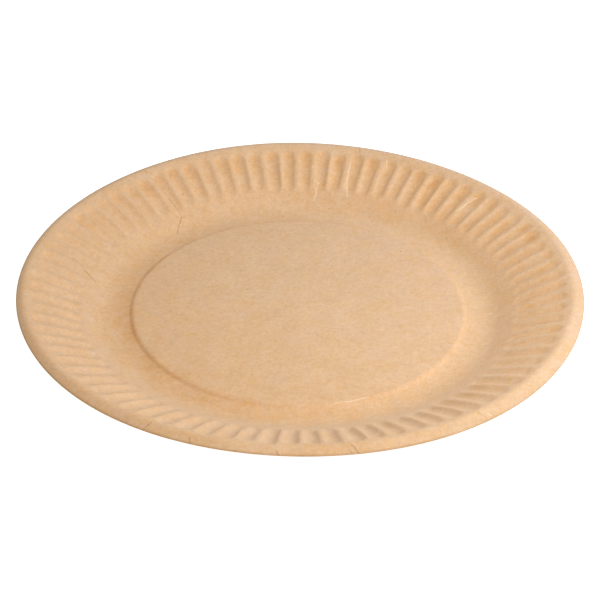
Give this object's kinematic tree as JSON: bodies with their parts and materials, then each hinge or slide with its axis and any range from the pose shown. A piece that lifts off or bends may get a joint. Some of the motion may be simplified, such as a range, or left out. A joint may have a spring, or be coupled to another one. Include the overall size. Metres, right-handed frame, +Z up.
{
  "type": "paper plate",
  "caption": "Round pressed kraft paper plate with a raised middle, a sloping fluted wall, a rounded lip and a hem creased downward, for serving food.",
  "frame": {"origin": "middle of the plane that the plate rests on, on its axis", "axes": "+Z up along the plate's axis; X and Y lie in the rest plane"},
  "size_m": [0.23, 0.23, 0.0175],
  "materials": {
    "paperboard": "matte"
  },
  "bodies": {
    "root": {"plate": "paperboard"}
  },
  "joints": []
}
